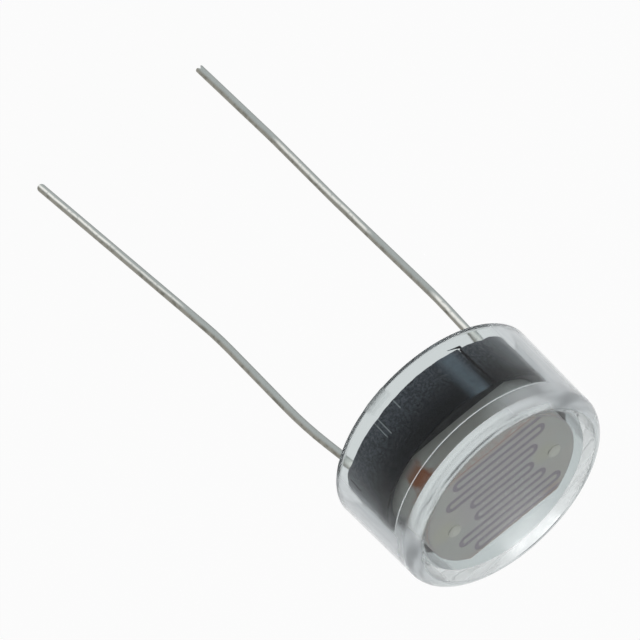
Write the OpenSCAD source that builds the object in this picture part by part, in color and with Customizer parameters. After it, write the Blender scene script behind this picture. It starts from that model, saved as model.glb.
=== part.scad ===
// Photoresistor in a clear plastic case. A ceramic disc with a serpentine light-sensitive track
// sits behind the window, a dark strip lines the wall behind it, and two wires leave the potted rear.
// Millimetres. The origin is the centre of the rear rim, +Z points out of the window,
// and +X points from wire B to wire A.

/* [Case] */
// Outer diameter at the rear rim
case_d = 13.9; // [13:0.1:16]
// Height from the rear rim to the face of the window
case_h = 6.65; // [6.2:0.05:9]
// Draft of the outer wall, in degrees
case_draft = 1.4; // [0.2:0.1:3]
// Radius of the rounded edge around the window
window_edge_r = 0.8; // [0.3:0.05:1.2]
// Radius of the rear rim's outer edge
rim_edge_r = 0.1; // [0.05:0.01:0.25]
// Thickness of the window
window_t = 1.25; // [0.9:0.05:1.7]
// Depth of the ledge in the bore, below the face of the window
ledge_drop = 2; // [1.8:0.05:2.6]
// Diameter of the drafted rear bore at the ledge
bore_d = 11.5; // [11.3:0.1:12]
// Widening of the bore from the ledge to its mouth, on each side
mouth_w = 0.5; // [0.2:0.05:0.6]
// Width of the trimmed moulding gate on the rim
gate_w = 1.4; // [0.6:0.1:2.5]
// Height of the trimmed moulding gate
gate_h = 0.9; // [0.4:0.1:1.5]
// How far the trimmed gate stands out of the wall
gate_proud = 0.05; // [0.02:0.01:0.15]
// Direction of the gate, in degrees from +X
gate_angle = 115; // [0:1:359]

/* [Liner strip] */
// Width of the strip, along the axis
liner_w = 3.2; // [2:0.05:3.3]
// Thickness of the strip
liner_t = 0.15; // [0.08:0.01:0.25]
// Gap between the strip and the narrow end of the bore
liner_clearance = 0.03; // [0.01:0.01:0.1]
// Distance of the strip from the rear rim
liner_inset = 0.5; // [0.3:0.05:0.8]
// Gap between the two ends of the strip
seam_w = 0.15; // [0.05:0.05:0.5]
// Direction of the seam, in degrees from +X
seam_angle = 64; // [0:0.5:359]

/* [Disc] */
// Diameter of the ceramic disc
disc_d = 10.2; // [9.6:0.1:10.4]
// Width of the disc across its two flats
disc_flats = 8.05; // [7.9:0.05:9]
// Thickness of the disc
disc_t = 1.74; // [1:0.01:2.2]
// Gap between the disc and its pocket
disc_clearance = 0.5; // [0.3:0.05:0.6]
// Space between the disc and the window
window_gap = 0.26; // [0.1:0.01:0.3]

/* [Track] */
// Thickness of the light-sensitive film
film_t = 0.02; // [0.01:0.005:0.04]
// Thickness of the metal electrodes
electrode_t = 0.02; // [0.01:0.005:0.04]
// Bare margin of the film around the electrodes
electrode_margin = 0.08; // [0.04:0.01:0.1]
// Width of the bare track between the electrodes
track_w = 0.3; // [0.15:0.01:0.4]
// Distance between neighbouring runs of the track
track_pitch = 0.66; // [0.6:0.01:0.66]
// Centres of the turns towards wire A along X, from the middle run outwards
turns_a = [1.85, 2.4, 3.2]; // [1.4:0.05:3.2]
// Centres of the turns towards wire B along X, from the middle run outwards
turns_b = [1.65, 3.05, 2.25]; // [1.4:0.05:3.1]
// Shift of the printed track along Y
print_shift = -0.08; // [-0.1:0.01:0.1]

/* [Wires] */
// Wire diameter
lead_d = 0.51; // [0.4:0.01:0.6]
// Gap around a wire in the disc
hole_clearance = 0.04; // [0.02:0.01:0.1]
// Distance between the two wire holes
hole_spacing = 7.15; // [7:0.05:7.6]
// Shift of both wire holes along Y
hole_shift = -0.25; // [-0.3:0.01:0.3]
// Diameter of the contact dots
contact_d = 0.86; // [0.8:0.02:1]
// Outward slope of the wires in the potting, in degrees
splay = 20; // [5:1:24]
// Radius of the bend behind the disc
splay_r = 0.8; // [0.5:0.1:1.5]
// Length of wire between the disc and its bend
splay_drop = 0.15; // [0.05:0.05:0.4]
// Radius of the bend behind the rim
exit_r = 2; // [1:0.5:4]
// Slope of wire A after each of its bends behind the rim, in degrees
lead_a_slopes = [2.5, -0.5, 0.5, -0.8]; // [-3:0.1:4]
// Straight lengths of wire A: past the rim, then after each bend but the last
lead_a_runs = [0.5, 4.4, 8.6, 5.4]; // [0.2:0.1:12]
// Length of the straight end of wire A
lead_a_end = 6.8; // [4:0.1:20]
// Radius of the gentle bends of wire A
lead_a_r = 30; // [10:1:40]
// Slope of wire B after each of its bends behind the rim, in degrees
lead_b_slopes = [6.8, 0, 4.8]; // [-3:0.1:10]
// Straight lengths of wire B: past the rim, then after each bend but the last
lead_b_runs = [0.1, 2.9, 5.2]; // [0.1:0.1:12]
// Length of the straight end of wire B
lead_b_end = 14.8; // [4:0.1:25]
// Radius of the gentle bends of wire B
lead_b_r = 30; // [10:1:40]

/* [Potting] */
// Depth of the potting's surface below the rear rim
potting_inset = 0.9; // [0.5:0.05:1.5]

/* [Hidden] */

$fn = 96;
// Overshoot of cutting tools
over = 1;
// Heights of the stack behind the window, from the window down
window_z = case_h - window_t;
ledge_z = case_h - ledge_drop;
disc_front_z = window_z - window_gap;
disc_rear_z = disc_front_z - disc_t;
electrode_z = disc_front_z + film_t;
stack_z = electrode_z + electrode_t;
// Radii of the fits inside the case
bore_r = bore_d / 2;
mouth_x = bore_r + mouth_w;
pocket_r = disc_d / 2 + disc_clearance;
liner_r = bore_r - liner_clearance;
potting_r = liner_r - liner_t;
hole_r = lead_d / 2 + hole_clearance;
hole_x = hole_spacing / 2;
// Rounded window edge: the centre of its arc, and where the drafted wall runs into it
edge_z = case_h - window_edge_r;
edge_x = case_d / 2 - edge_z * tan(case_draft) - window_edge_r / cos(case_draft);
wall_top = [edge_x + window_edge_r * cos(case_draft), edge_z + window_edge_r * sin(case_draft)];
// The track has three turns on each side of each half
track_turns = len(turns_a);
track_end_x = disc_d;
// The slope behind the disc ends at the rim, so its length follows the heights
splay_z = disc_rear_z - splay_drop - splay_r * sin(splay);
splay_run = splay_z / cos(splay);
// A bend is a row of small kinks, each with a ball a little thicker than the wire
kink_max = 4;
ball_extra = 0.004;
ball_d = lead_d + ball_extra;
lead_a_bends = wire_bends(lead_a_slopes, lead_a_runs, lead_a_r);
lead_b_bends = wire_bends(lead_b_slopes, lead_b_runs, lead_b_r);

// Each bend of a wire is [straight length before it, turn in degrees, radius]
function wire_bends(slopes, runs, bend_r) = concat(
    [[stack_z - disc_rear_z + splay_drop, splay, splay_r],
     [splay_run + runs[0], slopes[0] - splay, exit_r]],
    [for (i = [1 : len(runs) - 1]) [runs[i], slopes[i] - slopes[i - 1], bend_r]]);

// Number of kinks in a bend, and the length from a kink to where its arc would touch the wire
function kinks(bend) = max(1, ceil(abs(bend[1]) / kink_max));
function tangent(bend) = bend[2] * tan(abs(bend[1]) / kinks(bend) / 2);

// Steps of a wire from its contact to its free end, each [straight length, turn in degrees]
function wire_steps(bends, end) = concat(
    [for (i = [0 : len(bends) - 1], k = [1 : kinks(bends[i])]) [
        tangent(bends[i]) + (k > 1 ? tangent(bends[i]) : bends[i][0] + (i > 0 ? tangent(bends[i - 1]) : 0)),
        bends[i][1] / kinks(bends[i])]],
    [[end + tangent(bends[len(bends) - 1]), 0]]);

// Distance of a run of the track from the middle of the print: the runs lie in pairs about it
function run_y(i) = (i + 0.5) * track_pitch;

// Corners of the track's centre line in one half of the print, from the middle outwards
function half_track(side) = [for (i = [0 : track_turns - 1]) each [
    [turns_a[i], side * run_y(2 * i)],
    [-turns_b[i], side * run_y(2 * i)],
    [-turns_b[i], side * run_y(2 * i + 1)],
    [i < track_turns - 1 ? turns_a[i + 1] : track_end_x, side * run_y(2 * i + 1)]]];

// A wire that runs down from the origin through its steps, turning towards +X
module wire(steps, i = 0) {
    run = steps[i][0];
    translate([0, 0, -run]) {
        cylinder(d = lead_d, h = run);
        if (i < len(steps) - 1) {
            sphere(d = ball_d);
            rotate([0, -steps[i][1], 0])
                wire(steps, i + 1);
        }
    }
}

module wire_a() {
    translate([hole_x, hole_shift, stack_z])
        wire(wire_steps(lead_a_bends, lead_a_end));
}

module wire_b() {
    mirror([1, 0, 0])
        translate([hole_x, hole_shift, stack_z])
            wire(wire_steps(lead_b_bends, lead_b_end));
}

// Outline of the ceramic disc, drawn in by a margin
module disc_outline(margin = 0) {
    intersection() {
        circle(d = disc_d - 2 * margin);
        square([disc_d, disc_flats - 2 * margin], center = true);
    }
}

// The two wire holes of the disc and its films
module wire_holes() {
    for (x = [-hole_x, hole_x])
        translate([x, hole_shift])
            circle(r = hole_r);
}

// Half ring that joins two neighbouring runs of the track at its origin and bulges towards +X
module track_turn() {
    difference() {
        circle(d = track_pitch + track_w);
        circle(d = track_pitch - track_w);
        translate([-disc_d, -disc_d / 2])
            square(disc_d);
    }
}

// One straight run of the track between two places along X
module track_run(x_b, x_a) {
    translate([x_b, -track_w / 2])
        square([x_a - x_b, track_w]);
}

// The bare serpentine track between the electrodes
module track() {
    last = track_turns - 1;
    for (side = [-1, 1], i = [0 : last]) {
        reach_a = i < last ? turns_a[i + 1] : track_end_x;
        translate([0, side * run_y(2 * i)])
            track_run(-turns_b[i], turns_a[i]);
        translate([0, side * run_y(2 * i + 1)])
            track_run(-turns_b[i], reach_a);
        translate([-turns_b[i], side * (2 * i + 1) * track_pitch])
            mirror([1, 0])
                track_turn();
        if (i < last)
            translate([turns_a[i + 1], side * (2 * i + 2) * track_pitch])
                track_turn();
    }
    translate([turns_a[0], 0])
        track_turn();
}

// Discs inside the turns at one end of the track
module turn_discs(towards_a) {
    for (side = [-1, 1], i = [0 : track_turns - 1])
        translate(towards_a ? [turns_a[i], side * 2 * i * track_pitch]
                            : [-turns_b[i], side * (2 * i + 1) * track_pitch])
            circle(d = track_pitch);
}

// All of the plane on wire A's side of the track's centre line
module side_a() {
    lower = half_track(-1);
    count = len(lower);
    difference() {
        union() {
            polygon(concat([for (i = [count - 1 : -1 : 0]) lower[i]], half_track(1)));
            turn_discs(false);
        }
        turn_discs(true);
    }
}

// Metal film around the track
module electrode_film() {
    difference() {
        disc_outline(electrode_margin);
        translate([0, print_shift])
            track();
        wire_holes();
    }
}

module contact(x) {
    translate([x, hole_shift, stack_z])
        cylinder(d = contact_d, h = window_z - stack_z);
}

// Section of the case on one side of its axis
module case_section() {
    polygon([[mouth_x, 0], [case_d / 2 - rim_edge_r, 0], [case_d / 2, rim_edge_r], wall_top,
             [edge_x, case_h], [0, case_h], [0, window_z], [pocket_r, window_z],
             [pocket_r, ledge_z], [bore_r, ledge_z]]);
    translate([edge_x, edge_z])
        circle(r = window_edge_r);
    translate([case_d / 2 - rim_edge_r, rim_edge_r])
        circle(r = rim_edge_r);
}

// Stub that is left where the moulding gate was trimmed
module gate() {
    rotate(gate_angle)
        translate([mouth_x, -gate_w / 2, 0])
            cube([case_d / 2 + gate_proud - mouth_x, gate_w, gate_h]);
}

module case() {
    color([0.88, 0.91, 0.91, 0.35]) {
        rotate_extrude()
            case_section();
        gate();
    }
}

module liner() {
    color([0.2, 0.21, 0.23])
        translate([0, 0, liner_inset])
            difference() {
                cylinder(r = liner_r, h = liner_w);
                translate([0, 0, -over])
                    cylinder(r = potting_r, h = liner_w + 2 * over);
                rotate(seam_angle)
                    translate([0, -seam_w / 2, -over])
                        cube([bore_d, seam_w, liner_w + 2 * over]);
            }
}

module disc() {
    color([0.72, 0.69, 0.65])
        translate([0, 0, disc_rear_z])
            linear_extrude(disc_t)
                difference() {
                    disc_outline();
                    wire_holes();
                }
}

module photo_layer() {
    color([0.55, 0.38, 0.34])
        translate([0, 0, disc_front_z])
            linear_extrude(film_t)
                difference() {
                    disc_outline();
                    wire_holes();
                }
}

module electrode_a() {
    color([0.66, 0.66, 0.63])
        translate([0, 0, electrode_z])
            linear_extrude(electrode_t)
                intersection() {
                    electrode_film();
                    translate([0, print_shift])
                        side_a();
                }
}

module electrode_b() {
    color([0.64, 0.64, 0.62])
        translate([0, 0, electrode_z])
            linear_extrude(electrode_t)
                difference() {
                    electrode_film();
                    translate([0, print_shift])
                        side_a();
                }
}

module contact_a() {
    color([0.75, 0.74, 0.66])
        contact(hole_x);
}

module contact_b() {
    color([0.75, 0.74, 0.66])
        contact(-hole_x);
}

module lead_a() {
    color([0.68, 0.68, 0.67])
        wire_a();
}

module lead_b() {
    color([0.68, 0.68, 0.67])
        wire_b();
}

module potting() {
    color([0.12, 0.12, 0.13])
        difference() {
            translate([0, 0, potting_inset])
                cylinder(r = potting_r, h = disc_rear_z - potting_inset);
            wire_a();
            wire_b();
        }
}

case();
liner();
disc();
photo_layer();
electrode_a();
electrode_b();
contact_a();
contact_b();
lead_a();
lead_b();
potting();
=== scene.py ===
import math

import bpy
from mathutils import Matrix, Vector, noise


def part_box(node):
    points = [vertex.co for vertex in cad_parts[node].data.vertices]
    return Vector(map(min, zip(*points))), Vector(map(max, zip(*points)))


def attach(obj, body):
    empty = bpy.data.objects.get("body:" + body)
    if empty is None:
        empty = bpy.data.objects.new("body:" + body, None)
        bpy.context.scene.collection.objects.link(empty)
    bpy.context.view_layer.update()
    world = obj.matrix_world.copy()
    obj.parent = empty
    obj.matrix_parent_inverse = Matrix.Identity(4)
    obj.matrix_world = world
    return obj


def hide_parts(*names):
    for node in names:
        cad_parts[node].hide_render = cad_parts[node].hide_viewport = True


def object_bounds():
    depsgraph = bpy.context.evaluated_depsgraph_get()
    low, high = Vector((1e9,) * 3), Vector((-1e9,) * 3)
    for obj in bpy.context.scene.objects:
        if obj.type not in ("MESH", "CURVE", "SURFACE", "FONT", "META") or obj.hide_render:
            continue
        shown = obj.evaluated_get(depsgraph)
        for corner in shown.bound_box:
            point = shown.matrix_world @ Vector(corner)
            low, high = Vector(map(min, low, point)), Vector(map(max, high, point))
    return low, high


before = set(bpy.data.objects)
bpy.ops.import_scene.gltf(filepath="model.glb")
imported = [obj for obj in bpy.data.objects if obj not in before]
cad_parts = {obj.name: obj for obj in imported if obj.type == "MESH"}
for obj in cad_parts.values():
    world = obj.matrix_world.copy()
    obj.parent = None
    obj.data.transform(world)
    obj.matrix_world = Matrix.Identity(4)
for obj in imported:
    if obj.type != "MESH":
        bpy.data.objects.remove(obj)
cad_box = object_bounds()

# Lengths below are in millimetres, and Blender's are in metres
MM = 0.001


def box_mm(node):
    """Lowest and highest corner of a CAD node, in millimetres."""
    low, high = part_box(node)
    return low / MM, high / MM


# Sizes read from the frame
_, case_high = box_mm("case")
liner_low, liner_high = box_mm("liner")
disc_low, disc_high = box_mm("disc")
dot_low, dot_high = box_mm("contact_a")
potting_low, potting_high = box_mm("potting")
_, wire_high = box_mm("lead_a")
floor_z = cad_box[0].z / MM

# Case: the fits and edges that a box doesn't give
CASE_DRAFT = math.radians(1.4)
WINDOW_EDGE_R = 0.8
RIM_EDGE_R = 0.1
LINER_CLEARANCE = 0.03
DISC_CLEARANCE = 0.5
LEDGE_DROP = 2.0
LEDGE_EDGE_R = 0.04
POCKET_EDGE_R = 0.03
MOUTH_W = 0.5
MOUTH_EDGE_R = 0.05
GATE_ANGLE = math.radians(115)
GATE_W = 1.4
GATE_H = 0.9
GATE_PROUD = 0.05
TEAR_SCALE = 3.0
TEAR_TILT = 0.3
case_r = case_high.x
case_h = case_high.z
bore_r = liner_high.x + LINER_CLEARANCE
pocket_r = disc_high.x + DISC_CLEARANCE
ledge_z = case_h - LEDGE_DROP
window_z = dot_high.z

# Finish of the case: each zone is the distance where it begins and the one where it is full
RIM_ZONE_Z = (0.16, 0.08)
FLAT_ZONE_R = (6.1, 5.95)
WALL_ZONE_R = (6.4, 6.6)
WALL_ZONE_Z = (6.0, 5.2)
EDGE_ZONE_R = (6.0, 6.2)
EDGE_ZONE_Z = (5.6, 6.0)
SIDE_ZONE = (5.6, 6.0)
END_ZONE = (4.5, 5.4)
UPPER_ZONE = (-2.0, 0.0)
CORNER_ZONE = (1.5, 4.5)
CORNER_ZONE_Z = (4.9, 5.3)
WINDOW_ZONE_Z = (case_h - 0.2, case_h - 0.03)
FLAT_ZONE_Z = (window_z - 0.1, window_z - 0.02)
# Spans of the same finish, with the length of the fade beyond each end; the tear's width is in degrees
POCKET_SPAN_R = (5.5, 5.65)
POCKET_SOFT = 0.1
TEAR_HALF = 6
TEAR_SOFT = 2
TEAR_SPAN_Z = (-0.2, 0.4)
TEAR_SOFT_Z = 0.3

# Liner strip: angles are in degrees from +X, and the strip runs from the seam once around
LINER_T = 0.15
LINER_MID = 102.5
SEAM_ANGLE = 64.0
SEAM_W = 0.15
liner_r = liner_high.x
# Drops of its rear edge: depth, the turn from the liner's middle where it starts, its run and its power
LEFT_DROPS = [(0.25, 20, 40, 1), (0.2, 52, 10, 1)]
RIGHT_DROPS = [(0.3, 30, 50, 2), (0.14, 57, 6, 1)]
REAR_MARGIN = 0.04
RAGGED_H = 0.03
# Lifted corner at the seam: angles past the seam and heights from the rear edge
SLIVER = [(-1.5, 0.1), (-1.5, -0.1), (3.0, -0.12), (6.5, -0.16), (2.0, -0.04)]
SLIVER_LIFT = 0.02
SLIVER_T = 0.05
# Finish of the liner: scratches and painted shadow lines have an angle, a width in degrees and two heights
# Painted shade: the strip fades from a lighter rear edge to near black towards the window
LINER_SHADE_Z = (0.3, 3.4)
# Painted highlight beside the seam: the angles where it rises and where it falls away
LINER_HIGHLIGHT_RISE = (66, 71)
LINER_HIGHLIGHT_FALL = (83, 74)
# Painted reflection: the strip paler at both of its ends, towards its rear edge
LINER_GLARE_ANGLES = (22, 186)
LINER_GLARE_HALF = 10
LINER_GLARE_SOFT = 22
LINER_GLARE_Z = (3.7, 2.6)
LINER_SCRATCHES = [(126.2, 0.45, 0.5, 1.7), (123.2, 0.45, 0.6, 1.8), (110.2, 0.45, 0.5, 1.2)]
# Painted shadow lines: one in a crease of the strip and one in the seam's gap
LINER_SHADOW_LINES = [(168.5, 0.8, 0.4, 1.3), (SEAM_ANGLE, 1.2, 0.0, 4.0)]
SCRATCH_SOFT = 0.1

# Finish of the disc and its films
# Painted shade over the disc towards -X: its span in X and the length of its fade
PAINTED_SHADE_SPAN_X = (-4.6, 0.6)
PAINTED_SHADE_SOFT = 2.4
STAIN_SPAN_X = (-3.8, -3.1)
STAIN_SOFT = 0.4
STAIN_ZONE_Z = (3.3, 4.4)
STAIN_WAVE = 0.5
RESIDUE_H = 0.6
FILM_RING = (0.14, 0.1)
FILM_FLAT_W = 0.3
ELECTRODE_END_X = (2.0, 3.6)
ELECTRODE_FLAT_W = 0.8
RUST_X = 2.9
RUST_REACH = (0.3, 1.3)
HALO_SHIFT = (-0.5, 0.4)
HALO_REACH = (0.3, 1.2)

# Contacts and potting
CONTACT_GAP = 0.05
CONTACT_EDGE_R = 0.1
CONTACT_SLIP = 0.12
CONTACT_FOOT_H = 0.06
CONTACT_FOOT_SHARE = 0.97
CONTACT_TOP_SHARE = 0.62
CONTACT_UNEVEN = 0.05
POTTING_EDGE_R = 0.01
POTTING_WAVE = 0.02
MENISCUS_H = 0.22
MENISCUS_W = 0.35
WIRE_MENISCUS_H = 0.3
WIRE_MENISCUS_W = 0.3
contact_r = (dot_high.x - dot_low.x) / 2
potting_r = potting_high.x

# Wires: each bend is the straight length before it, the turn in degrees and the radius of the bend
WIRE_D = 0.51
SPLAY = 20
SPLAY_DROP = 0.15
wire_top_run = wire_high.z - disc_low.z + SPLAY_DROP
top_bend = (wire_top_run, SPLAY, 0.8)
WIRE_A_BENDS = [top_bend, (3.667, -17.5, 2), (4.4, -3, 30), (8.6, 1, 30), (5.4, -1.3, 30)]
WIRE_A_END = 6.8
WIRE_B_BENDS = [top_bend, (3.267, -13.2, 2), (2.9, -6.8, 30), (5.2, 4.8, 30)]
WIRE_B_END = 14.8
TIP_ROUND = 0.24
TIP_NOTCH = 0.22
NOTCH_HALF = 0.5
# Point attribute of a wire: how far a point lies across its painted highlight, faces it, and lies along
# the wire
WIRE_PLACE = "wire_place"
# Painted highlights, a bright line down each wire: start and end along the wire, half the highlight's
# width in radii, and strength
WIRE_HIGHLIGHT_ANGLE = math.radians(LINER_MID)
WIRE_HIGHLIGHT_SOFT = 1.0
WIRE_HIGHLIGHT_SHIFT = 0.12
WIRE_A_HIGHLIGHTS = [(0, 8.2, 0.9, 1.0), (9.0, 11.5, 0.6, 0.9), (18.5, 26.4, 0.5, 0.8)]
WIRE_B_HIGHLIGHTS = [(0, 6.2, 1.3, 1.0), (22.4, 27.6, 0.38, 0.65), (28.6, 34.5, 0.42, 0.9)]
contact_x = (dot_low.x + dot_high.x) / 2
contact_y = (dot_low.y + dot_high.y) / 2

# The photograph's view: the part's axis and spin against the line of sight, and where its origin lies
IMAGE_PX = 640
FOCUS_PX = 4700
PX_PER_MM = 17.99
ORIGIN_PX = (435.1, 422.1)
VIEW_TILT = math.radians(58.55)
VIEW_ROLL = math.radians(45.07)
VIEW_SPIN = math.radians(12.5)
SENSOR_MM = 36
# Ends of the line of light along the window's lower edge
GLINT_START_PX = (508, 551)
GLINT_END_PX = (560, 517)
GLINT_DISTANCE = 400
GLINT_W = 0.8
GLINT_POWER = 0.0003
# Key lamp: its direction is right, up and back from the camera's view
KEY_DIRECTION = (-0.6, 0.8, 0.6)
KEY_DISTANCE = 400
KEY_SIZE = 200
KEY_POWER = 0.6

# Edges sharper than this stay crisp
SHARP_ANGLE = math.radians(40)
# Steps of a full turn in a turned piece, and of a quarter turn in a rounded edge
TURN_STEPS = 240
EDGE_STEPS = 10


def view_axes():
    """The part's X, Y and Z in the camera's own axes: right, down and forward."""
    z_axis = Vector((
        math.sin(VIEW_TILT) * math.cos(VIEW_ROLL),
        math.sin(VIEW_TILT) * math.sin(VIEW_ROLL),
        -math.cos(VIEW_TILT),
    ))
    across = Vector((-math.sin(VIEW_ROLL), math.cos(VIEW_ROLL), 0))
    along = z_axis.cross(across)
    x_axis = -math.cos(VIEW_SPIN) * across + math.sin(VIEW_SPIN) * along
    y_axis = -math.sin(VIEW_SPIN) * across - math.cos(VIEW_SPIN) * along
    return Matrix((x_axis, y_axis, z_axis))


camera_axes = view_axes()


def add_camera():
    """The camera at the photograph's viewing angle."""
    depth = FOCUS_PX / PX_PER_MM
    origin_seen = Vector((
        (ORIGIN_PX[0] - IMAGE_PX / 2) / PX_PER_MM,
        (ORIGIN_PX[1] - IMAGE_PX / 2) / PX_PER_MM,
        depth,
    ))
    data = bpy.data.cameras.new("camera")
    data.sensor_width = SENSOR_MM
    data.lens = FOCUS_PX / IMAGE_PX * SENSOR_MM
    data.clip_start = 0.01
    data.clip_end = 20
    camera = bpy.data.objects.new("camera", data)
    right, down, forward = camera_axes.transposed()
    turn = Matrix((right, -down, -forward)).transposed()
    place = camera_axes @ -origin_seen * MM
    camera.matrix_world = Matrix.Translation(place) @ turn.to_4x4()
    bpy.context.scene.collection.objects.link(camera)
    bpy.context.scene.camera = camera


class Paint:
    """A material's node tree, with short calls for the nodes that the materials share."""

    def __init__(self, name):
        self.material = bpy.data.materials.new(name)
        self.material.use_nodes = True
        self.tree = self.material.node_tree
        self.shader = self.tree.nodes["Principled BSDF"]
        metres = self.tree.nodes.new("ShaderNodeTexCoord").outputs["Object"]
        scaled = self.node("ShaderNodeVectorMath", {0: metres, "Scale": 1 / MM}, operation="SCALE")
        self.place = scaled.outputs["Vector"]
        split = self.node("ShaderNodeSeparateXYZ", {0: self.place})
        self.x, self.y, self.z = split.outputs

    def node(self, kind, inputs, **settings):
        """Adds a node, sets its options and feeds its inputs."""
        made = self.tree.nodes.new(kind)
        for key, value in settings.items():
            setattr(made, key, value)
        for key, value in inputs.items():
            self.feed(made.inputs[key], value)
        return made

    def feed(self, socket, value):
        """Links an output to a socket, or sets the socket's own value."""
        if isinstance(value, bpy.types.NodeSocket):
            self.tree.links.new(value, socket)
        else:
            socket.default_value = value

    def set(self, **values):
        """Sets sockets of the shader, with an underscore for each space in a name."""
        for key, value in values.items():
            self.feed(self.shader.inputs[key.replace("_", " ")], value)

    def math(self, operation, a, b=0.0):
        return self.node("ShaderNodeMath", {0: a, 1: b}, operation=operation).outputs[0]

    def times(self, *values):
        """The product of two or more values."""
        total = values[0]
        for value in values[1:]:
            total = self.math("MULTIPLY", total, value)
        return total

    def noise(self, scale, detail=2.0, place=None):
        """Noise between 0 and 1, with the scale in waves per millimetre."""
        inputs = {"Vector": place or self.place, "Scale": scale, "Detail": detail}
        return self.node("ShaderNodeTexNoise", inputs).outputs["Fac"]

    def stretched(self, x, y, z):
        """The place with each axis scaled, for grain that runs one way."""
        inputs = {0: self.place, 1: (x, y, z)}
        return self.node("ShaderNodeVectorMath", inputs, operation="MULTIPLY").outputs[0]

    def angle(self):
        """Direction about the part's axis from +X, in degrees."""
        radians = self.math("ARCTAN2", self.y, self.x)
        return self.math("MULTIPLY", radians, math.degrees(1))

    def fade(self, value, start, end):
        """0 at start and 1 at end, with a smooth step between them."""
        inputs = {"Value": value, "From Min": start, "From Max": end}
        return self.node("ShaderNodeMapRange", inputs, interpolation_type="SMOOTHSTEP").outputs[0]

    def band(self, value, low, high, soft):
        """1 between low and high, with soft edges that lie outside them."""
        return self.times(self.fade(value, low - soft, low), self.fade(value, high + soft, high))

    def mix(self, factor, a, b):
        """Colour a where the factor is 0 and colour b where it is 1."""
        made = self.node("ShaderNodeMix", {0: factor}, data_type="RGBA")
        self.feed(made.inputs[6], a)
        self.feed(made.inputs[7], b)
        return made.outputs[2]

    def level(self, value, low, high):
        """A value from 0 to 1 spread between two levels."""
        inputs = {"Value": value, "To Min": low, "To Max": high}
        return self.node("ShaderNodeMapRange", inputs).outputs[0]

    def bump(self, height, depth):
        """A normal from a height between 0 and 1, with its depth in millimetres."""
        inputs = {"Height": height, "Distance": depth * MM, "Strength": 1.0}
        self.feed(self.shader.inputs["Normal"], self.node("ShaderNodeBump", inputs).outputs["Normal"])

    def radius(self):
        """Distance from the part's axis, in millimetres."""
        squares = self.math("ADD", self.math("POWER", self.x, 2), self.math("POWER", self.y, 2))
        return self.math("SQRT", squares)

    def along(self, angle):
        """Distance from the axis in the direction of an angle in degrees, in millimetres."""
        inputs = {0: self.place, 1: around(1, angle, 0)}
        return self.node("ShaderNodeVectorMath", inputs, operation="DOT_PRODUCT").outputs["Value"]

    def near(self, spot, inner, outer):
        """1 within the inner distance of a point and 0 beyond the outer one, in millimetres."""
        gap = self.node("ShaderNodeVectorMath", {0: self.place, 1: spot}, operation="DISTANCE")
        return self.fade(gap.outputs["Value"], outer, inner)


def rgba(red, green, blue):
    return (red, green, blue, 1.0)


def clear_plastic():
    """Clear moulded plastic, rough at the rim and the gate's tear, milky on the walls beside the liner."""
    paint = Paint("clear_plastic")
    radius = paint.radius()
    right = paint.along(LINER_MID - 90)
    beside = paint.math("ABSOLUTE", right)
    gate = math.degrees(GATE_ANGLE)
    torn_across = paint.band(paint.angle(), gate - TEAR_HALF, gate + TEAR_HALF, TEAR_SOFT)
    torn = paint.times(torn_across, paint.band(paint.z, *TEAR_SPAN_Z, TEAR_SOFT_Z))
    rim = paint.fade(paint.z, *RIM_ZONE_Z)
    rim_line = paint.times(rim, paint.fade(radius, case_r - RIM_EDGE_R, case_r - RIM_EDGE_R / 2))
    inside = paint.fade(radius, *FLAT_ZONE_R)
    window = paint.times(inside, paint.fade(paint.z, *WINDOW_ZONE_Z))
    flat = paint.times(inside, paint.fade(paint.z, *FLAT_ZONE_Z))
    edge = paint.times(paint.fade(radius, *EDGE_ZONE_R), paint.fade(paint.z, *EDGE_ZONE_Z))
    pocket_wall = paint.band(radius, *POCKET_SPAN_R, POCKET_SOFT)
    pocket = paint.times(pocket_wall, paint.band(paint.z, ledge_z, window_z, POCKET_SOFT))

    outer = paint.fade(radius, *WALL_ZONE_R)
    streaks = paint.level(paint.noise(1.6, 3.0, paint.stretched(1, 1, 0.12)), 0.5, 1.4)
    sides = paint.times(outer, paint.fade(paint.z, *WALL_ZONE_Z), paint.fade(beside, *SIDE_ZONE), streaks)
    upper = paint.fade(paint.along(LINER_MID), *UPPER_ZONE)
    ends = paint.times(edge, paint.fade(beside, *END_ZONE), upper)
    corner = paint.times(outer, paint.fade(right, *CORNER_ZONE), paint.fade(paint.z, *CORNER_ZONE_Z))
    haze = paint.math("MAXIMUM", sides, paint.math("MAXIMUM", ends, corner))
    colour = paint.mix(window, rgba(0.62, 0.665, 0.668), rgba(0.86, 0.885, 0.885))
    colour = paint.mix(haze, colour, rgba(0.74, 0.78, 0.805))
    paint.set(Base_Color=colour, Transmission_Weight=paint.level(haze, 1.0, 0.55), IOR=1.5)
    paint.set(Specular_Tint=rgba(0.2, 0.2, 0.21))

    frost = paint.level(paint.noise(1.5), 0.02, 0.07)
    for mask, rough in ((rim, 0.3), (rim_line, 0.6), (torn, 0.6), (pocket, 0.16), (edge, 0.2)):
        frost = paint.math("MAXIMUM", frost, paint.times(mask, rough))
    paint.set(Roughness=frost)
    tear = paint.times(torn, paint.noise(4.0, 4.0), 2.0)
    wave = paint.times(paint.noise(0.45, 1.0), paint.level(flat, 1.0, 0.03))
    paint.bump(paint.math("ADD", tear, wave), 0.02)
    return paint.material


def scratch(paint, angle, width, start, end):
    """A fine line along the axis of the liner, at an angle and between two heights."""
    across = paint.band(paint.angle(), angle - width / 2, angle + width / 2, width / 2)
    return paint.times(across, paint.band(paint.z, start, end, SCRATCH_SOFT))


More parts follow.
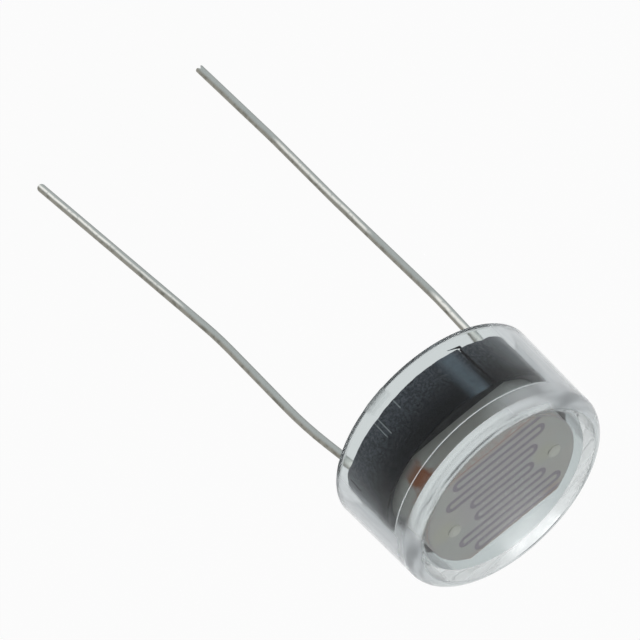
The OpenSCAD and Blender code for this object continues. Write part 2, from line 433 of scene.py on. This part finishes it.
def liner_film():
    """Dark strip with fine specks and scratches, painted lighter at its rear edge and shaded to near black
    towards the window, with a painted highlight beside the seam, painted reflections at both ends and
    painted shadow lines in a crease and the seam.
    """
    paint = Paint("liner_film")
    angle = paint.angle()
    speck = paint.fade(paint.noise(7.0, 4.0), 0.4, 0.65)
    # Painted shade: lighter at the rear edge, near black towards the window
    rear = paint.mix(speck, rgba(0.09, 0.095, 0.114), rgba(0.2, 0.21, 0.243))
    shaded_front = paint.mix(speck, rgba(0.004, 0.004, 0.006), rgba(0.016, 0.017, 0.021))
    colour = paint.mix(paint.fade(paint.z, *LINER_SHADE_Z), rear, shaded_front)
    # Painted highlight: a clouded bluish band beside the seam
    cloud = paint.level(paint.noise(3.0), 0.5, 1.0)
    painted_sheen = paint.times(paint.fade(angle, *LINER_HIGHLIGHT_RISE), paint.fade(angle, *LINER_HIGHLIGHT_FALL), cloud)
    colour = paint.mix(painted_sheen, colour, rgba(0.3, 0.36, 0.43))
    # Painted reflection at both ends of the strip, fading out towards the window
    glare_rear = paint.fade(paint.z, *LINER_GLARE_Z)
    for middle in LINER_GLARE_ANGLES:
        lit_stretch = paint.band(angle, middle - LINER_GLARE_HALF, middle + LINER_GLARE_HALF, LINER_GLARE_SOFT)
        colour = paint.mix(paint.times(lit_stretch, glare_rear, 0.85), colour, rgba(0.36, 0.375, 0.405))
    broken = paint.fade(paint.noise(5.0), 0.3, 0.5)
    for line in LINER_SCRATCHES:
        colour = paint.mix(paint.times(scratch(paint, *line), broken), colour, rgba(0.5, 0.52, 0.54))
    # Painted shadow lines in a crease and in the seam's gap
    for line in LINER_SHADOW_LINES:
        colour = paint.mix(scratch(paint, *line), colour, rgba(0.004, 0.004, 0.005))
    paint.set(Base_Color=colour, Roughness=0.6, Specular_IOR_Level=0.2)
    paint.bump(paint.noise(14.0), 0.01)
    return paint.material


def ceramic():
    """Fired ceramic with a brown stain at one corner, a red-brown film residue along the flats and painted
    shade that darkens and browns it towards -X.
    """
    paint = Paint("ceramic")
    grain = paint.noise(2.5, 4.0)
    colour = paint.mix(grain, rgba(0.78, 0.74, 0.71), rgba(0.93, 0.90, 0.87))
    # Painted shade, darker and browner towards -X
    painted_shade = paint.times(paint.band(paint.x, *PAINTED_SHADE_SPAN_X, PAINTED_SHADE_SOFT), 0.6)
    colour = paint.mix(painted_shade, colour, rgba(0.58, 0.52, 0.47))
    stain_x = paint.math("ADD", paint.x, paint.level(paint.noise(1.6), -STAIN_WAVE, STAIN_WAVE))
    stain = paint.times(paint.band(stain_x, *STAIN_SPAN_X, STAIN_SOFT), paint.fade(paint.z, *STAIN_ZONE_Z))
    colour = paint.mix(stain, colour, rgba(0.46, 0.15, 0.06))
    top = paint.fade(paint.z, disc_high.z - RESIDUE_H, disc_high.z)
    colour = paint.mix(paint.times(top, paint.fade(grain, 0.35, 0.7)), colour, rgba(0.66, 0.42, 0.36))
    paint.set(Base_Color=colour, Roughness=0.75)
    paint.bump(paint.noise(10.0, 3.0), 0.01)
    return paint.material


def flats_of_disc(paint, width):
    """1 along the disc's two flat sides and 0 from a width inwards."""
    return paint.fade(paint.math("ABSOLUTE", paint.y), disc_high.y - width, disc_high.y)


def photo_film():
    """Purple-grey light-sensitive film, paler at the rim and red-brown along the flats."""
    paint = Paint("photo_film")
    cloud = paint.noise(0.6, 3.0)
    colour = paint.mix(cloud, rgba(0.25, 0.197, 0.25), rgba(0.305, 0.247, 0.295))
    ring = paint.fade(paint.radius(), disc_high.x - FILM_RING[0], disc_high.x - FILM_RING[1])
    colour = paint.mix(ring, colour, rgba(0.5, 0.45, 0.45))
    colour = paint.mix(flats_of_disc(paint, FILM_FLAT_W), colour, rgba(0.55, 0.33, 0.27))
    paint.set(Base_Color=colour, Roughness=0.5)
    paint.bump(paint.noise(12.0), 0.004)
    return paint.material


def electrode_film():
    """Dull metal film, tinted green in places, olive beside the contacts and red-brown along the flats."""
    paint = Paint("electrode_film")
    cloud = paint.noise(0.5, 3.0)
    colour = paint.mix(cloud, rgba(0.53, 0.475, 0.48), rgba(0.625, 0.563, 0.566))
    ends = paint.fade(paint.math("ABSOLUTE", paint.x), *ELECTRODE_END_X)
    colour = paint.mix(paint.times(ends, 0.7), colour, rgba(0.6, 0.57, 0.5))
    tint = paint.fade(paint.noise(0.5, 1.0), 0.4, 0.65)
    colour = paint.mix(paint.times(tint, 0.3), colour, rgba(0.51, 0.55, 0.525))
    rust = paint.near((RUST_X, -disc_high.y, disc_high.z), *RUST_REACH)
    colour = paint.mix(paint.times(rust, 0.75), colour, rgba(0.5, 0.29, 0.24))
    for side in (1, -1):
        spot = (side * contact_x + HALO_SHIFT[0], contact_y + HALO_SHIFT[1], disc_high.z)
        halo = paint.near(spot, *HALO_REACH)
        colour = paint.mix(paint.times(halo, 0.7), colour, rgba(0.62, 0.59, 0.45))
    flats = flats_of_disc(paint, ELECTRODE_FLAT_W)
    colour = paint.mix(paint.times(flats, 0.5), colour, rgba(0.55, 0.43, 0.38))
    paint.set(Base_Color=colour, Roughness=0.55)
    paint.bump(paint.noise(12.0), 0.004)
    return paint.material


def contact_paint():
    """Pale conductive paint."""
    paint = Paint("contact_paint")
    colour = paint.mix(paint.noise(3.0, 3.0), rgba(0.74, 0.71, 0.61), rgba(0.88, 0.85, 0.75))
    paint.set(Base_Color=colour, Roughness=0.35)
    paint.bump(paint.noise(8.0), 0.01)
    return paint.material


def tinned_wire(name, highlights):
    """Tinned wire, grey on one side and darker olive on the other, with a broken painted highlight between
    and painted shade along the grey side's edge.

    Across the wire, -1 is its grey side and 1 its olive side."""
    paint = Paint(name)
    place = paint.node("ShaderNodeAttribute", {}, attribute_name=WIRE_PLACE)
    split = paint.node("ShaderNodeSeparateXYZ", {0: place.outputs["Vector"]})
    across, facing, length = split.outputs
    mottle = paint.noise(1.4, 3.0, paint.stretched(2.5, 2.5, 0.6))
    colour = paint.mix(mottle, rgba(0.33, 0.365, 0.355), rgba(0.45, 0.485, 0.475))
    # Painted shade: darker along the edge of the grey side
    colour = paint.mix(paint.fade(across, -0.65, -1.0), colour, rgba(0.25, 0.265, 0.255))
    shifted = paint.math("ADD", across, paint.level(paint.noise(0.5), -0.2, 0.2))
    spots = paint.fade(paint.noise(2.2), 0.45, 0.7)
    olive = paint.mix(spots, rgba(0.285, 0.277, 0.243), rgba(0.18, 0.174, 0.147))
    colour = paint.mix(paint.fade(shifted, -0.2, 0.55), colour, olive)
    # Painted highlight: a broken bright line over each listed stretch of the wire
    from_highlight = paint.math("ABSOLUTE", paint.math("ADD", shifted, WIRE_HIGHLIGHT_SHIFT))
    broken = paint.times(paint.fade(facing, -0.2, 0.2), paint.fade(paint.noise(3.5, 3.0), 0.2, 0.5))
    for start, end, half, strength in highlights:
        lit_stretch = paint.band(length, start, end, WIRE_HIGHLIGHT_SOFT)
        painted_highlight = paint.times(paint.fade(from_highlight, half, half * 0.1), lit_stretch, strength, broken)
        colour = paint.mix(painted_highlight, colour, rgba(0.95, 0.95, 0.9))
    paint.set(Base_Color=colour, Metallic=1.0, Roughness=paint.level(mottle, 0.25, 0.42))
    paint.bump(paint.noise(6.0, place=paint.stretched(1, 1, 0.15)), 0.006)
    return paint.material


def potting_compound():
    """Black casting resin."""
    paint = Paint("potting_compound")
    colour = paint.mix(paint.noise(1.0, 3.0), rgba(0.012, 0.012, 0.014), rgba(0.028, 0.028, 0.03))
    paint.set(Base_Color=colour, Roughness=0.35)
    paint.bump(paint.noise(2.0, 3.0), 0.02)
    return paint.material


def make_piece(name, points, faces, material, node, normals=None):
    """A smooth mesh piece, from points in millimetres, that stands for a CAD node."""
    mesh = bpy.data.meshes.new(name)
    mesh.from_pydata([Vector(point) * MM for point in points], [], faces)
    mesh.materials.append(material)
    mesh.polygons.foreach_set("use_smooth", [True] * len(mesh.polygons))
    if normals:
        mesh.normals_split_custom_set_from_vertices(normals)
    else:
        mesh.set_sharp_from_angle(angle=SHARP_ANGLE)
    mesh.update()
    piece = bpy.data.objects.new(name, mesh)
    bpy.context.scene.collection.objects.link(piece)
    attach(piece, "root")
    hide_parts(node)
    return piece


def rounded(corners):
    """Points and normals of an outline whose corners, given as (r, z, radius), are rounded.

    The outline runs with the solid on its left-hand side, and its two ends stay sharp."""
    outline = []
    for i, (r, z, radius) in enumerate(corners):
        here = Vector((r, z))
        if i in (0, len(corners) - 1):
            other = Vector(corners[1 if i == 0 else i - 1][:2])
            run = (other - here) if i == 0 else (here - other)
            outline.append((here, Vector((run.y, -run.x)).normalized()))
            continue
        run_in = (here - Vector(corners[i - 1][:2])).normalized()
        run_out = (Vector(corners[i + 1][:2]) - here).normalized()
        if not radius:
            run = run_in + run_out
            outline.append((here, Vector((run.y, -run.x)).normalized()))
            continue
        turn = run_in.angle_signed(run_out)
        reach = radius * math.tan(abs(turn) / 2)
        side = -1 if turn > 0 else 1
        start_normal = Vector((run_in.y, -run_in.x))
        centre = here - run_in * reach - side * start_normal * radius
        steps = max(2, round(EDGE_STEPS * abs(turn) / (math.pi / 2)))
        for step in range(steps + 1):
            swing = -turn * step / steps
            normal = Matrix.Rotation(swing, 2) @ start_normal
            outline.append((centre + side * normal * radius, normal))
    return outline


def turned(outline, shift=None):
    """Points, faces and normals of an outline turned about the axis, both ends of it on the axis.

    shift, where it is given, moves a point and may tilt its normal."""
    points = []
    normals = []
    rings = outline[1:-1]
    for here, normal in rings:
        for k in range(TURN_STEPS):
            swing = 2 * math.pi * k / TURN_STEPS
            out = Vector((math.cos(swing), math.sin(swing), 0))
            point = out * here.x + Vector((0, 0, here.y))
            facing = out * normal.x + Vector((0, 0, normal.y))
            if shift:
                point, facing = shift(point, facing)
            points.append(point)
            normals.append(facing)
    faces = []
    for ring in range(len(rings) - 1):
        for k in range(TURN_STEPS):
            after = (k + 1) % TURN_STEPS
            low = ring * TURN_STEPS
            high = low + TURN_STEPS
            faces.append((low + k, low + after, high + after, high + k))
    for ring, end in ((0, outline[0]), (len(rings) - 1, outline[-1])):
        pole = len(points)
        points.append(Vector((0, 0, end[0].y)))
        normals.append(Vector((0, 0, end[1].y)))
        for k in range(TURN_STEPS):
            pair = (ring * TURN_STEPS + k, ring * TURN_STEPS + (k + 1) % TURN_STEPS)
            faces.append((pole, *(pair if ring else pair[::-1])))
    return points, faces, normals


def gate_rise(point, facing):
    """The torn stub of the trimmed gate, as a shift of the wall."""
    gate = Vector((math.cos(GATE_ANGLE), math.sin(GATE_ANGLE), 0))
    across = gate.cross(point).z
    on_wall = gate.dot(point) > case_r - 3 * RIM_EDGE_R
    if not on_wall or abs(across) > GATE_W / 2 or point.z > GATE_H:
        return point, facing
    rough = noise.noise_vector(point * TEAR_SCALE)
    rise = GATE_PROUD * (0.5 + 0.5 * rough.x)
    return point + rise * gate, (facing + TEAR_TILT * rough).normalized()


def add_case(material):
    """Clear cup with a stepped bore, turned from its profile."""
    outer_r = case_r - case_h * math.tan(CASE_DRAFT)
    gate_rings = 8
    heights = [GATE_H * k / gate_rings for k in range(2, gate_rings + 2)]
    wall = [(case_r - z * math.tan(CASE_DRAFT), z, 0) for z in heights]
    outline = rounded([
        (0, window_z, 0),
        (pocket_r, window_z, POCKET_EDGE_R),
        (pocket_r, ledge_z, LEDGE_EDGE_R),
        (bore_r, ledge_z, LEDGE_EDGE_R),
        (bore_r + MOUTH_W, 0, MOUTH_EDGE_R),
        (case_r, 0, RIM_EDGE_R),
        *wall,
        (outer_r, case_h, WINDOW_EDGE_R),
        (0, case_h, 0),
    ])
    points, faces, normals = turned(outline, gate_rise)
    make_piece("case_shell", points, faces, material, "case", normals)


def liner_rear(angle):
    """Height of the strip's hand-cut rear edge at an angle in degrees from +X."""
    turn = (angle - LINER_MID + 180) % 360 - 180
    drop = max(total_drop(turn, LEFT_DROPS), total_drop(-turn, RIGHT_DROPS))
    ragged = noise.noise(Vector((angle * 0.2, 0, 0))) + 0.5 * noise.noise(Vector((angle * 0.9, 5, 0)))
    return liner_low.z + REAR_MARGIN - drop + RAGGED_H * ragged


def total_drop(turn, drops):
    """Sum of the drops of one side at a turn from the liner's middle."""
    return sum(depth * min(max((turn - start) / run, 0), 1) ** power for depth, start, run, power in drops)


def around(radius, angle, z):
    """A point about the axis, at an angle in degrees from +X."""
    swing = math.radians(angle)
    return Vector((radius * math.cos(swing), radius * math.sin(swing), z))


def add_liner(material):
    """Dark strip rolled into a ring, with an open seam whose rear corner stands off as a sliver."""
    steps = 360
    rows = 6
    gap = math.degrees(SEAM_W / liner_r)
    points = []
    faces = []
    loop = 2 * (rows + 1)
    for i in range(steps + 1):
        angle = SEAM_ANGLE + gap / 2 + (360 - gap) * i / steps
        rear = liner_rear(angle)
        heights = [rear + (liner_high.z - rear) * k / rows for k in range(rows + 1)]
        points += [around(liner_r, angle, z) for z in heights]
        points += [around(liner_r - LINER_T, angle, z) for z in reversed(heights)]
        if i:
            low = (i - 1) * loop
            for k in range(loop):
                after = (k + 1) % loop
                faces.append((low + k, low + loop + k, low + loop + after, low + after))
    faces.append(tuple(range(loop)))
    faces.append(tuple(range(steps * loop, (steps + 1) * loop))[::-1])
    add_sliver(points, faces)
    make_piece("liner_strip", points, faces, material, "liner")


def add_sliver(points, faces):
    """The lifted corner of the strip at the seam, a thin sliver that leans along the rear edge."""
    count = len(SLIVER)
    low = len(points)
    for radius in (liner_r + SLIVER_LIFT, liner_r + SLIVER_LIFT + SLIVER_T):
        points += [around(radius, SEAM_ANGLE + angle, liner_low.z + z) for angle, z in SLIVER]
    faces.append(tuple(range(low, low + count)))
    faces.append(tuple(range(low + count, low + 2 * count))[::-1])
    for k in range(count):
        after = (k + 1) % count
        faces.append((low + after, low + k, low + count + k, low + count + after))


def add_contact(name, side, node, material):
    """Blob of conductive paint over a wire's end, just clear of the window."""
    top = window_z - CONTACT_GAP
    centre = Vector((side * contact_x + CONTACT_SLIP, contact_y - CONTACT_SLIP, 0))
    outline = rounded([
        (0, dot_low.z, 0),
        (contact_r, dot_low.z, 0),
        (contact_r * CONTACT_FOOT_SHARE, dot_low.z + CONTACT_FOOT_H, CONTACT_EDGE_R / 2),
        (contact_r * CONTACT_TOP_SHARE, top, CONTACT_EDGE_R),
        (0, top, 0),
    ])

    def place(point, facing):
        uneven = 1 + CONTACT_UNEVEN * noise.noise(point * 3 + Vector((side * 7, 0, 0)))
        return Vector((point.x * uneven, point.y * uneven, point.z)) + centre, facing

    points, faces, normals = turned(outline, place)
    for end in (-2, -1):
        points[end] = points[end] + centre
    make_piece(name, points, faces, material, node, normals)


def wire_x_at(z):
    """Distance of a wire from the middle plane where it passes a height inside the case."""
    line = [top_offset for top_offset, heading in wire_line(WIRE_A_BENDS, WIRE_A_END)]
    for above, below in zip(line, line[1:]):
        if wire_high.z + below.y <= z:
            share = (wire_high.z + above.y - z) / (above.y - below.y)
            return contact_x + above.x + share * (below.x - above.x)


def add_potting(material):
    """Black resin whose rear surface climbs the liner and both wires a little."""
    rear = potting_low.z
    rings = 26
    edge_r = potting_r - MENISCUS_W
    outline = rounded(
        [(0, rear, 0)]
        + [(edge_r * k / rings, rear, 0) for k in range(1, rings)]
        + [(edge_r, rear, MENISCUS_W), (potting_r, rear - MENISCUS_H, POTTING_EDGE_R),
           (potting_r, potting_high.z, POTTING_EDGE_R), (0, potting_high.z, 0)])
    exits = [Vector((side * wire_x_at(rear), contact_y, rear)) for side in (1, -1)]

    def climb(point, facing):
        if point.z > rear + POTTING_EDGE_R:
            return point, facing
        near = min((Vector((point.x, point.y, rear)) - spot).length for spot in exits) - WIRE_D / 2
        rise = WIRE_MENISCUS_H * math.exp(-max(near, 0) / WIRE_MENISCUS_W * 2)
        return point - Vector((0, 0, rise + POTTING_WAVE * noise.noise(point))), facing

    points, faces, _ = turned(outline, climb)
    make_piece("potting_fill", points, faces, material, "potting")


def wire_line(bends, end):
    """Centre line of a wire from its contact down, in the plane of its bends, as (x, z) and heading."""
    step_turn = 2
    here = Vector((0, 0))
    heading = 0.0
    line = [(here.copy(), heading)]
    for run, turn, radius in bends:
        here = here + run * Vector((math.sin(heading), -math.cos(heading)))
        line.append((here.copy(), heading))
        steps = math.ceil(abs(turn) / step_turn)
        small = math.radians(turn) / steps
        chord = 2 * radius * math.sin(abs(small) / 2)
        for _ in range(steps):
            middle = heading + small / 2
            here = here + chord * Vector((math.sin(middle), -math.cos(middle)))
            heading += small
            line.append((here.copy(), heading))
    here = here + end * Vector((math.sin(heading), -math.cos(heading)))
    line.append((here, heading))
    return line


def add_wire(name, side, bends, end, material):
    """Drawn wire, swept along its bends, with the end notched on wire A and rounded on wire B."""
    sides = 28
    spacing = 0.8
    points = []
    faces = []
    places = []
    top = Vector((side * contact_x, contact_y, wire_high.z))
    line = finer(wire_line(bends, end), spacing)
    rings = [(place, heading, 1.0) for place, heading in line]
    if side < 0:
        rings = rings[:-1] + rounded_tip(*line[-1])
    length = 0.0
    # The painted highlight faces this direction about the axis, and beside runs across it
    facing = Vector((math.cos(WIRE_HIGHLIGHT_ANGLE), math.sin(WIRE_HIGHLIGHT_ANGLE), 0))
    beside = Vector((-facing.y, facing.x, 0))
    for ring, (place, heading, width) in enumerate(rings):
        length += (place - rings[max(ring - 1, 0)][0]).length
        centre = top + Vector((side * place.x, 0, place.y))
        across = Vector((side * math.cos(heading), 0, math.sin(heading)))
        back = Vector((-side * math.sin(heading), 0, math.cos(heading)))
        last = ring == len(rings) - 1
        for k in range(sides):
            swing = 2 * math.pi * k / sides
            out = math.cos(swing) * across + math.sin(swing) * Vector((0, 1, 0))
            notch = max(0, 1 - abs(math.cos(swing)) / NOTCH_HALF) if last and side > 0 else 0
            points.append(centre + width * WIRE_D / 2 * out + notch * TIP_NOTCH * back)
            places.append((out.dot(beside), out.dot(facing), length))
    for ring in range(len(rings) - 1):
        for k in range(sides):
            after = (k + 1) % sides
            low = ring * sides
            quad = (low + k, low + sides + k, low + sides + after, low + after)
            faces.append(quad[::side])
    faces.append(tuple(range(sides))[::side])
    low = len(points) - sides
    for k in range(sides // 2):
        strip = dict.fromkeys((low + k, low + (sides - k) % sides, low + sides - k - 1, low + k + 1))
        faces.append(tuple(strip)[::side])
    piece = make_piece(name, points, faces, material, "lead_a" if side > 0 else "lead_b")
    attribute = piece.data.attributes.new(WIRE_PLACE, "FLOAT_VECTOR", "POINT")
    for spot, value in zip(attribute.data, places):
        spot.vector = value


def rounded_tip(place, heading):
    """Rings of a domed wire end: the place, heading and share of the full width of each."""
    steps = 6
    ahead = Vector((math.sin(heading), -math.cos(heading)))
    rings = []
    for k in range(steps):
        swing = math.pi / 2 * k / steps
        rings.append((place - TIP_ROUND * (1 - math.sin(swing)) * ahead, heading, math.cos(swing)))
    return rings


def finer(line, spacing):
    """A wire's centre line with points added on its long straights."""
    full = [line[0]]
    for (start, _), (stop, heading) in zip(line, line[1:]):
        count = max(1, math.ceil((stop - start).length / spacing))
        full += [(start.lerp(stop, k / count), heading) for k in range(1, count + 1)]
    return full


def toward(right, up, back):
    """A direction given in the camera's axes, in the part's frame."""
    return camera_axes @ Vector((right, -up, -back)).normalized()


def add_lamp(name, direction, distance, size, power):
    """Soft square lamp that faces the part's case."""
    data = bpy.data.lights.new(name, "AREA")
    data.size = size * MM
    data.energy = power
    lamp = bpy.data.objects.new(name, data)
    lamp.location = direction * distance * MM
    lamp.rotation_euler = (-direction).to_track_quat("-Z", "Y").to_euler()
    bpy.context.scene.collection.objects.link(lamp)


def window_spot(pixel):
    """The point of the window's plane that a pixel shows, and the direction of its mirrored ray."""
    eye = bpy.context.scene.camera.matrix_world.translation / MM
    seen = Vector((pixel[0] - IMAGE_PX / 2, pixel[1] - IMAGE_PX / 2, FOCUS_PX)).normalized()
    ray = camera_axes @ seen
    spot = eye + ray * (case_h - eye.z) / ray.z
    return spot, Vector((ray.x, ray.y, -ray.z))


def add_glint(start_px, end_px, distance, width, power):
    """Narrow lamp that the flat window mirrors as a line between two pixels."""
    ends = []
    for pixel in (start_px, end_px):
        spot, mirrored = window_spot(pixel)
        ends.append(spot + mirrored * distance)
    data = bpy.data.lights.new("strip_lamp", "AREA")
    data.shape = "RECTANGLE"
    data.size = (ends[1] - ends[0]).length * MM
    data.size_y = width * MM
    data.energy = power
    lamp = bpy.data.objects.new("strip_lamp", data)
    long_way = (ends[1] - ends[0]).normalized()
    back = mirrored - mirrored.dot(long_way) * long_way
    back.normalize()
    turn = Matrix((long_way, back.cross(long_way), back)).transposed()
    lamp.matrix_world = Matrix.Translation((ends[0] + ends[1]) / 2 * MM) @ turn.to_4x4()
    lamp.visible_camera = False
    bpy.context.scene.collection.objects.link(lamp)


def seen_rays(tree):
    """1 for camera, glossy and transmission rays, which show the white background, and 0 for the rest."""
    path = tree.nodes.new("ShaderNodeLightPath")
    total = path.outputs["Is Camera Ray"]
    for name in ("Is Glossy Ray", "Is Transmission Ray"):
        join = tree.nodes.new("ShaderNodeMath")
        join.operation = "MAXIMUM"
        tree.links.new(total, join.inputs[0])
        tree.links.new(path.outputs[name], join.inputs[1])
        total = join.outputs[0]
    return total


def add_world():
    """White backdrop for what shows it, and a softer light for what it only lights."""
    ambient = 0.6
    world = bpy.data.worlds.new("studio")
    bpy.context.scene.world = world
    world.use_nodes = True
    tree = world.node_tree
    spread = tree.nodes.new("ShaderNodeMapRange")
    spread.inputs["To Min"].default_value = ambient
    tree.links.new(seen_rays(tree), spread.inputs["Value"])
    tree.links.new(spread.outputs[0], tree.nodes["Background"].inputs["Strength"])
    tree.nodes["Background"].inputs["Color"].default_value = (1, 1, 1, 1)


def add_floor():
    """Pale floor under the wire ends, which shows white and keeps a soft shadow."""
    half = 400
    gap = 0.2
    white_share = 0.93
    mesh = bpy.data.meshes.new("floor")
    z = floor_z - gap
    corners = [(-half, -half, z), (half, -half, z), (half, half, z), (-half, half, z)]
    mesh.from_pydata([Vector(corner) * MM for corner in corners], [], [(0, 1, 2, 3)])
    material = bpy.data.materials.new("floor_paper")
    material.use_nodes = True
    tree = material.node_tree
    tree.nodes.clear()
    diffuse = tree.nodes.new("ShaderNodeBsdfDiffuse")
    diffuse.inputs["Color"].default_value = (0.9, 0.9, 0.9, 1)
    glow = tree.nodes.new("ShaderNodeEmission")
    share = tree.nodes.new("ShaderNodeMath")
    share.operation = "MULTIPLY"
    share.inputs[1].default_value = white_share
    tree.links.new(seen_rays(tree), share.inputs[0])
    mix = tree.nodes.new("ShaderNodeMixShader")
    tree.links.new(share.outputs[0], mix.inputs[0])
    tree.links.new(diffuse.outputs[0], mix.inputs[1])
    tree.links.new(glow.outputs[0], mix.inputs[2])
    output = tree.nodes.new("ShaderNodeOutputMaterial")
    tree.links.new(mix.outputs[0], output.inputs["Surface"])
    mesh.materials.append(material)
    floor = bpy.data.objects.new("floor", mesh)
    bpy.context.scene.collection.objects.link(floor)


def dress(node, material):
    """Gives a CAD node its finish."""
    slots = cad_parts[node].data.materials
    slots.clear()
    slots.append(material)


def set_light_paths():
    """Enough bounces for light that runs inside the clear plastic."""
    cycles = bpy.context.scene.cycles
    cycles.max_bounces = 48
    cycles.glossy_bounces = 32
    cycles.transmission_bounces = 32


add_camera()
bpy.context.scene.view_settings.view_transform = "Standard"
set_light_paths()
add_world()
add_floor()
add_lamp("key_lamp", toward(*KEY_DIRECTION), KEY_DISTANCE, KEY_SIZE, KEY_POWER)
add_glint(GLINT_START_PX, GLINT_END_PX, GLINT_DISTANCE, GLINT_W, GLINT_POWER)

add_case(clear_plastic())
add_liner(liner_film())
add_potting(potting_compound())
contact_metal = contact_paint()
add_contact("contact_blob_a", 1, "contact_a", contact_metal)
add_contact("contact_blob_b", -1, "contact_b", contact_metal)
add_wire("wire_a", 1, WIRE_A_BENDS, WIRE_A_END, tinned_wire("tinned_wire_a", WIRE_A_HIGHLIGHTS))
add_wire("wire_b", -1, WIRE_B_BENDS, WIRE_B_END, tinned_wire("tinned_wire_b", WIRE_B_HIGHLIGHTS))
dress("disc", ceramic())
dress("photo_layer", photo_film())
electrode_metal = electrode_film()
dress("electrode_a", electrode_metal)
dress("electrode_b", electrode_metal)
